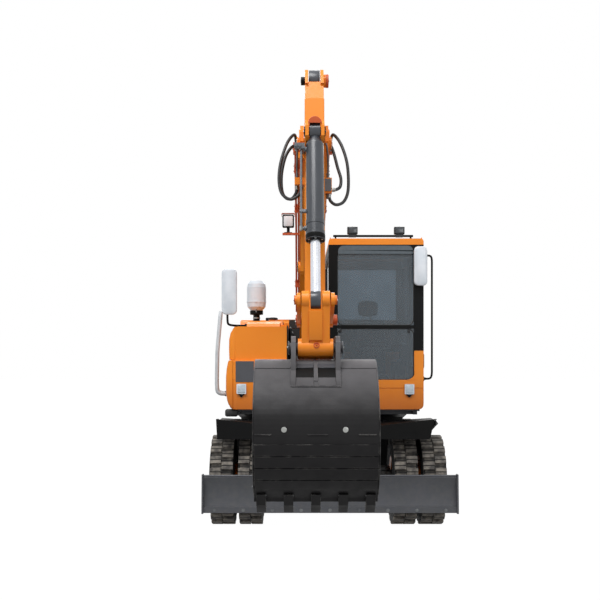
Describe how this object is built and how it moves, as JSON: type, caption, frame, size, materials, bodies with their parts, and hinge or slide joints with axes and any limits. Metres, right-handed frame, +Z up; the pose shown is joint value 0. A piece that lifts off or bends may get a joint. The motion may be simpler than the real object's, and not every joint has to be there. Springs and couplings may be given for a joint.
{
  "type": "wheeled excavator",
  "caption": "Compact wheeled excavator with twin tyres on both axles, front dozer blade, offset cab, one-piece bent boom, arm and toothed bucket, in orange paint",
  "frame": {"origin": "on the floor under the middle of the bounding box, with the joints at rest", "axes": "+X to the cab side, +Y to the tail, so that the bucket and blade point to -Y, +Z up"},
  "size_m": [2.22, 6.2615, 3.638],
  "materials": {
    "orange_paint": "satin",
    "black_paint": "satin",
    "grey_paint": "satin",
    "bright_metal": "brushed",
    "cab_glass": "polished",
    "tyre_rubber": "matte",
    "hose_rubber": "matte",
    "seat_cover": "woven",
    "chrome": "polished",
    "plastic": "matte",
    "plastic_pale": "matte",
    "cast_iron": "cast"
  },
  "bodies": {
    "chassis": {"chassis_frame": "grey_paint", "slew_ring": "grey_paint", "front_axle": "cast_iron", "rear_axle": "cast_iron", "drive_line": "cast_iron", "mudguards": "black_paint", "side_steps": "black_paint"},
    "knuckle_left": {"knuckle_left": "cast_iron"},
    "knuckle_right": {"knuckle_right": "cast_iron"},
    "steering_rod": {"steering_rod": "bright_metal"},
    "wheel_front_left": {"tyres_front_left": "tyre_rubber", "rims_front_left": "orange_paint"},
    "wheel_front_right": {"tyres_front_right": "tyre_rubber", "rims_front_right": "orange_paint"},
    "wheel_rear_left": {"tyres_rear_left": "tyre_rubber", "rims_rear_left": "orange_paint"},
    "wheel_rear_right": {"tyres_rear_right": "tyre_rubber", "rims_rear_right": "orange_paint"},
    "blade": {"blade": "grey_paint"},
    "blade_barrels": {"blade_barrels": "black_paint"},
    "blade_rods": {"blade_rods": "chrome"},
    "upper_body": {"turntable_frame": "grey_paint", "boom_brackets": "grey_paint", "counterweight": "orange_paint", "engine_block": "cast_iron", "engine_housing": "orange_paint", "front_housing": "orange_paint", "tank_housing": "orange_paint", "air_cleaner": "plastic_pale", "exhaust": "black_paint", "lamps": "black_paint", "cab_base": "orange_paint", "cab_frame": "black_paint", "cab_roof": "orange_paint", "cab_glass": "cab_glass", "seat": "seat_cover", "consoles": "plastic", "handrails": "bright_metal", "mirrors": "plastic_pale"},
    "hood": {"engine_hood": "orange_paint"},
    "door": {"cab_door": "black_paint", "door_glass": "cab_glass"},
    "boom": {"boom": "orange_paint", "boom_pipes": "bright_metal", "boom_lamp": "black_paint", "hose_left_inner": "hose_rubber", "hose_left_outer": "hose_rubber", "hose_right_inner": "hose_rubber", "hose_right_outer": "hose_rubber"},
    "boom_barrel": {"boom_barrel": "black_paint"},
    "boom_rod": {"boom_rod": "chrome"},
    "arm_barrel": {"arm_barrel": "black_paint"},
    "arm_rod": {"arm_rod": "chrome"},
    "arm": {"arm": "orange_paint"},
    "bucket_barrel": {"bucket_barrel": "black_paint"},
    "bucket_rod": {"bucket_rod": "chrome"},
    "rocker": {"rocker_links": "orange_paint"},
    "bucket_link": {"bucket_link": "orange_paint"},
    "bucket": {"bucket": "grey_paint", "bucket_teeth": "grey_paint"}
  },
  "joints": [
    {"name": "swing", "type": "hinge", "parent": "chassis", "child": "upper_body", "pos_m": [0, 1.376, 0.957], "axis": [0, 0, 1], "continuous": true},
    {"name": "steer_left", "type": "hinge", "parent": "chassis", "child": "knuckle_left", "pos_m": [0.55, 0.176, 0.4275], "axis": [0, 0, 1], "range_deg": [-26, 26]},
    {"name": "steer_right", "type": "hinge", "parent": "chassis", "child": "knuckle_right", "pos_m": [-0.55, 0.176, 0.4275], "axis": [0, 0, 1], "range_deg": [-26, 26]},
    {"name": "steer_rod_slide", "type": "slide", "parent": "chassis", "child": "steering_rod", "axis": [1, 0, 0], "range_m": [-0.092, 0.092]},
    {"name": "wheel_front_left_spin", "type": "hinge", "parent": "knuckle_left", "child": "wheel_front_left", "pos_m": [0.8575, 0.176, 0.4275], "axis": [1, 0, 0], "continuous": true},
    {"name": "wheel_front_right_spin", "type": "hinge", "parent": "knuckle_right", "child": "wheel_front_right", "pos_m": [-0.8575, 0.176, 0.4275], "axis": [1, 0, 0], "continuous": true},
    {"name": "wheel_rear_left_spin", "type": "hinge", "parent": "chassis", "child": "wheel_rear_left", "pos_m": [0.8575, 2.576, 0.4275], "axis": [1, 0, 0], "continuous": true},
    {"name": "wheel_rear_right_spin", "type": "hinge", "parent": "chassis", "child": "wheel_rear_right", "pos_m": [-0.8575, 2.576, 0.4275], "axis": [1, 0, 0], "continuous": true},
    {"name": "blade_lift", "type": "hinge", "parent": "chassis", "child": "blade", "pos_m": [0, 0.026, 0.5], "axis": [-1, 0, 0], "range_deg": [-27, 7]},
    {"name": "blade_barrel_tilt", "type": "hinge", "parent": "chassis", "child": "blade_barrels", "pos_m": [0, -0.064, 0.83], "axis": [-1, 0, 0], "range_deg": [-22.23, 5.76]},
    {"name": "blade_rod_slide", "type": "slide", "parent": "blade_barrels", "child": "blade_rods", "axis": [0, -0.8824, -0.4706], "range_m": [-0.04, 0.151]},
    {"name": "boom_lift", "type": "hinge", "parent": "upper_body", "child": "boom", "pos_m": [-0.16, 0.876, 1.52], "axis": [-1, 0, 0], "range_deg": [-52, 33]},
    {"name": "boom_barrel_tilt", "type": "hinge", "parent": "upper_body", "child": "boom_barrel", "pos_m": [-0.16, 0.576, 1.27], "axis": [-1, 0, 0], "range_deg": [-55.42, 35.17]},
    {"name": "boom_rod_slide", "type": "slide", "parent": "boom_barrel", "child": "boom_rod", "axis": [0, -0.7277, 0.6859], "range_m": [-0.303, 0.193]},
    {"name": "arm_reach", "type": "hinge", "parent": "boom", "child": "arm", "pos_m": [-0.16, -2.224, 3.12], "axis": [-1, 0, 0], "range_deg": [-42, 55], "deforming": ["hose_left_inner", "hose_left_outer", "hose_right_inner", "hose_right_outer"]},
    {"name": "arm_barrel_tilt", "type": "hinge", "parent": "boom", "child": "arm_barrel", "pos_m": [-0.16, -0.524, 3.03], "axis": [-1, 0, 0], "range_deg": [-1.92, 2.52]},
    {"name": "arm_rod_slide", "type": "slide", "parent": "arm_barrel", "child": "arm_rod", "axis": [0, -0.9547, 0.2976], "range_m": [-0.384, 0.293]},
    {"name": "bucket_curl", "type": "hinge", "parent": "arm", "child": "bucket", "pos_m": [-0.16, -2.574, 1.66], "axis": [1, 0, 0], "range_deg": [-52, 80]},
    {"name": "rocker_swing", "type": "hinge", "parent": "arm", "child": "rocker", "pos_m": [-0.16, -2.52, 1.857], "axis": [1, 0, 0], "range_deg": [-36.04, 55.44]},
    {"name": "link_swing", "type": "hinge", "parent": "bucket", "child": "bucket_link", "pos_m": [-0.16, -2.824, 1.668], "axis": [1, 0, 0], "range_deg": [-56.56, 36.77]},
    {"name": "bucket_barrel_tilt", "type": "hinge", "parent": "arm", "child": "bucket_barrel", "pos_m": [-0.16, -2.524, 3.13], "axis": [1, 0, 0], "range_deg": [-1.61, 2.48]},
    {"name": "bucket_rod_slide", "type": "slide", "parent": "bucket_barrel", "child": "bucket_rod", "axis": [0, -0.2889, -0.9574], "range_m": [-0.215, 0.33]},
    {"name": "door_swing", "type": "hinge", "parent": "upper_body", "child": "door", "pos_m": [0.944, 1.048, 1.9], "axis": [0, 0, 1], "range_deg": [0, 110]},
    {"name": "hood_lift", "type": "hinge", "parent": "upper_body", "child": "hood", "pos_m": [0, 1.799, 1.985], "axis": [1, 0, 0], "range_deg": [0, 50]}
  ],
  "couplings": [
    {"joint": "steer_right", "follows": "steer_left", "ratio": 1},
    {"joint": "steer_rod_slide", "follows": "steer_left", "m_per_rad": -0.2},
    {"joint": "blade_barrel_tilt", "follows": "blade_lift", "ratio": 0.8233},
    {"joint": "blade_rod_slide", "follows": "blade_lift", "m_per_rad": -0.3162},
    {"joint": "boom_barrel_tilt", "follows": "boom_lift", "ratio": 1.0657},
    {"joint": "boom_rod_slide", "follows": "boom_lift", "m_per_rad": 0.3326},
    {"joint": "arm_barrel_tilt", "follows": "arm_reach", "ratio": 0.0458},
    {"joint": "arm_rod_slide", "follows": "arm_reach", "m_per_rad": -0.3981},
    {"joint": "rocker_swing", "follows": "bucket_curl", "ratio": 0.693},
    {"joint": "link_swing", "follows": "bucket_curl", "ratio": -0.707},
    {"joint": "bucket_barrel_tilt", "follows": "bucket_curl", "ratio": 0.031},
    {"joint": "bucket_rod_slide", "follows": "bucket_curl", "m_per_rad": 0.235}
  ]
}
